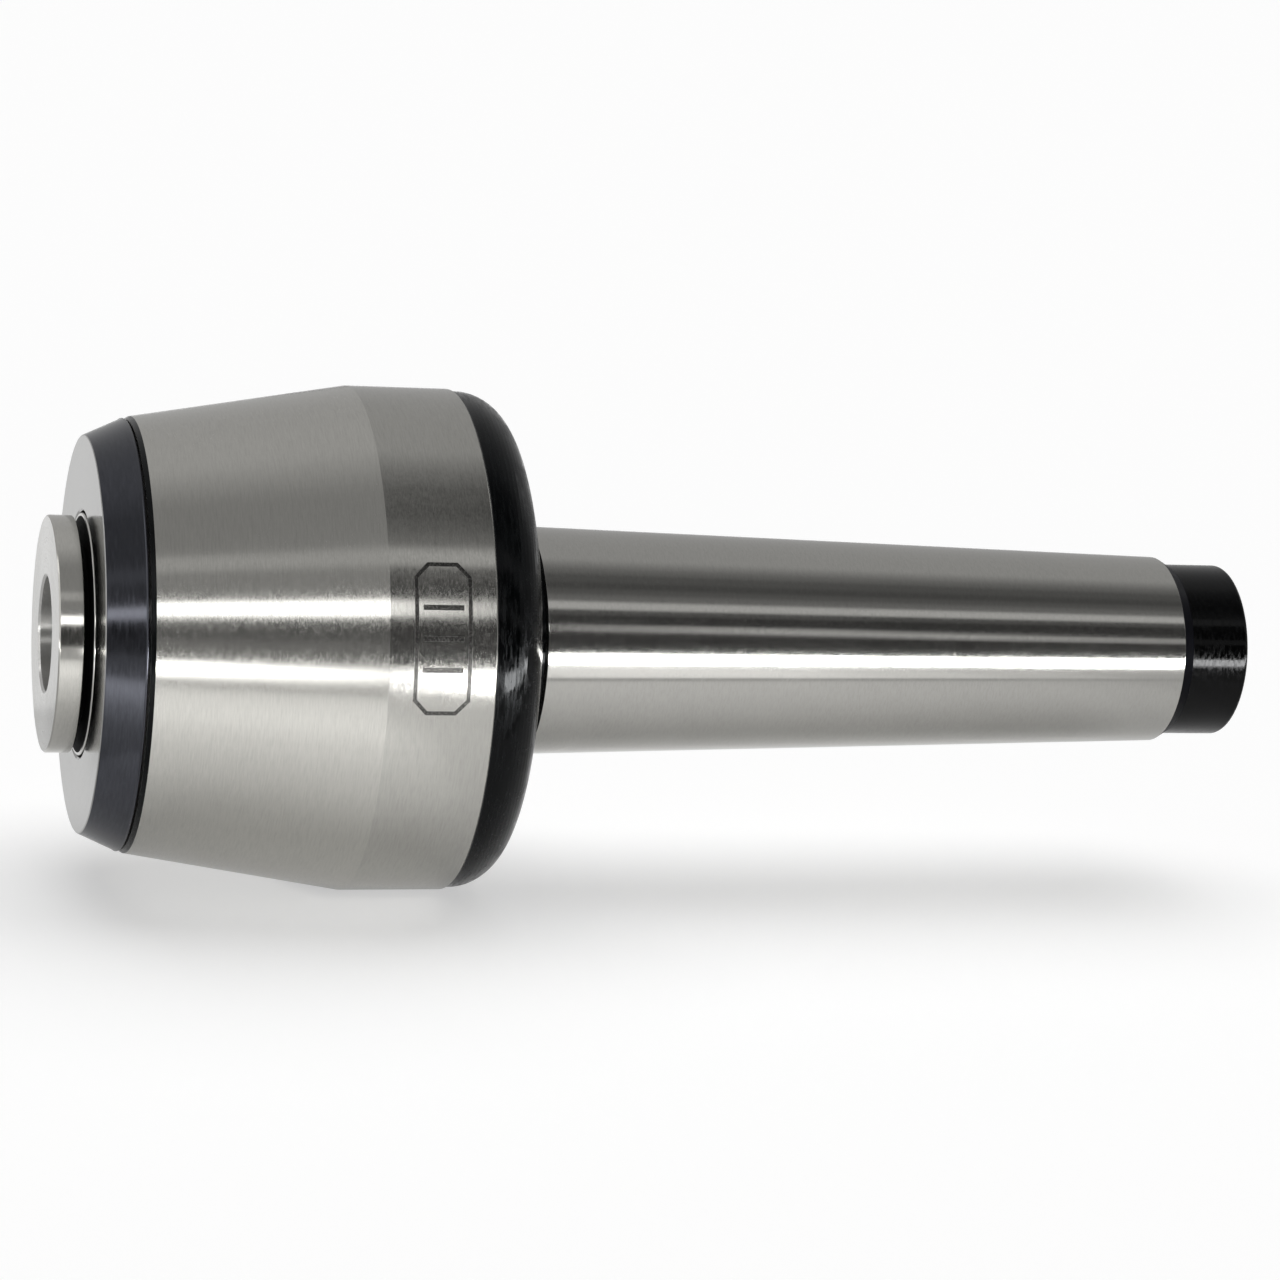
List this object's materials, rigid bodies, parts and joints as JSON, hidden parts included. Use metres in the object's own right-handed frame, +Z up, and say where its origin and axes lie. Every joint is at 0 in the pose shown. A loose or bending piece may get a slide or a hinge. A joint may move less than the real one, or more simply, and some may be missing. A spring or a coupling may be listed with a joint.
{
  "type": "live center",
  "caption": "Lathe tailstock live center with a taper shank, conical head and cap, and a free-turning flanged spindle bored for an interchangeable point.",
  "frame": {"origin": "on the axis, at the gauge plane (large end) of the Morse taper shank", "axes": "+X along the axis towards the tail of the shank, -X towards the rotating nose, +Z up"},
  "size_m": [0.1687, 0.0684, 0.0684],
  "materials": {
    "ground_steel": "cylindrically ground steel, fine circumferential lines; head rear, neck and tail left black",
    "black_oxide": "blue-black oxide on turned steel, satin",
    "spindle_steel": "fine turned and ground steel, satin",
    "bearing_steel": "ground and honed bearing steel",
    "ball_steel": "polished rolling elements",
    "cage_brass": "machined brass",
    "pressed_steel": "pressed and phosphated steel",
    "spring_steel": "tempered spring steel",
    "seal_rubber": "nitrile rubber, matt black"
  },
  "bodies": {
    "housing": {"body_shank": "ground_steel", "front_cap": "black_oxide", "cap_o_ring": "seal_rubber", "seal_case": "pressed_steel", "seal_lip": "seal_rubber", "seal_garter_spring": "spring_steel", "bearing_1_outer_ring": "bearing_steel", "bearing_2_outer_ring": "bearing_steel", "thrust_housing_washer": "bearing_steel", "disc_spring": "spring_steel", "needle_shell": "bearing_steel"},
    "spindle_set": {"spindle": "spindle_steel", "bearing_1_inner_ring": "bearing_steel", "bearing_2_inner_ring": "bearing_steel", "lock_washer": "pressed_steel", "lock_nut": "pressed_steel", "thrust_shaft_washer": "bearing_steel"},
    "bearing_1_ball_set": {"bearing_1_cage": "cage_brass", "bearing_1_balls": "ball_steel"},
    "bearing_2_ball_set": {"bearing_2_cage": "cage_brass", "bearing_2_balls": "ball_steel"},
    "thrust_ball_set": {"thrust_cage": "cage_brass", "thrust_balls": "ball_steel"},
    "needle_set": {"needle_cage": "pressed_steel", "needle_rollers": "ball_steel"}
  },
  "joints": [
    {"name": "spindle_spin", "type": "hinge", "parent": "housing", "child": "spindle_set", "pos_m": [-0.0385, 0, 0], "axis": [1, 0, 0], "continuous": true},
    {"name": "bearing_1_cage_spin", "type": "hinge", "parent": "housing", "child": "bearing_1_ball_set", "pos_m": [-0.0445, 0, 0], "axis": [1, 0, 0], "continuous": true},
    {"name": "bearing_2_cage_spin", "type": "hinge", "parent": "housing", "child": "bearing_2_ball_set", "pos_m": [-0.0325, 0, 0], "axis": [1, 0, 0], "continuous": true},
    {"name": "thrust_cage_spin", "type": "hinge", "parent": "housing", "child": "thrust_ball_set", "pos_m": [-0.0155, 0, 0], "axis": [1, 0, 0], "continuous": true},
    {"name": "needle_cage_spin", "type": "hinge", "parent": "housing", "child": "needle_set", "pos_m": [0.00095, 0, 0], "axis": [1, 0, 0], "continuous": true}
  ],
  "couplings": [
    {"joint": "bearing_1_cage_spin", "follows": "spindle_spin", "ratio": 0.4207},
    {"joint": "bearing_2_cage_spin", "follows": "spindle_spin", "ratio": 0.4207},
    {"joint": "thrust_cage_spin", "follows": "spindle_spin", "ratio": 0.5},
    {"joint": "needle_cage_spin", "follows": "spindle_spin", "ratio": 0.4456}
  ]
}
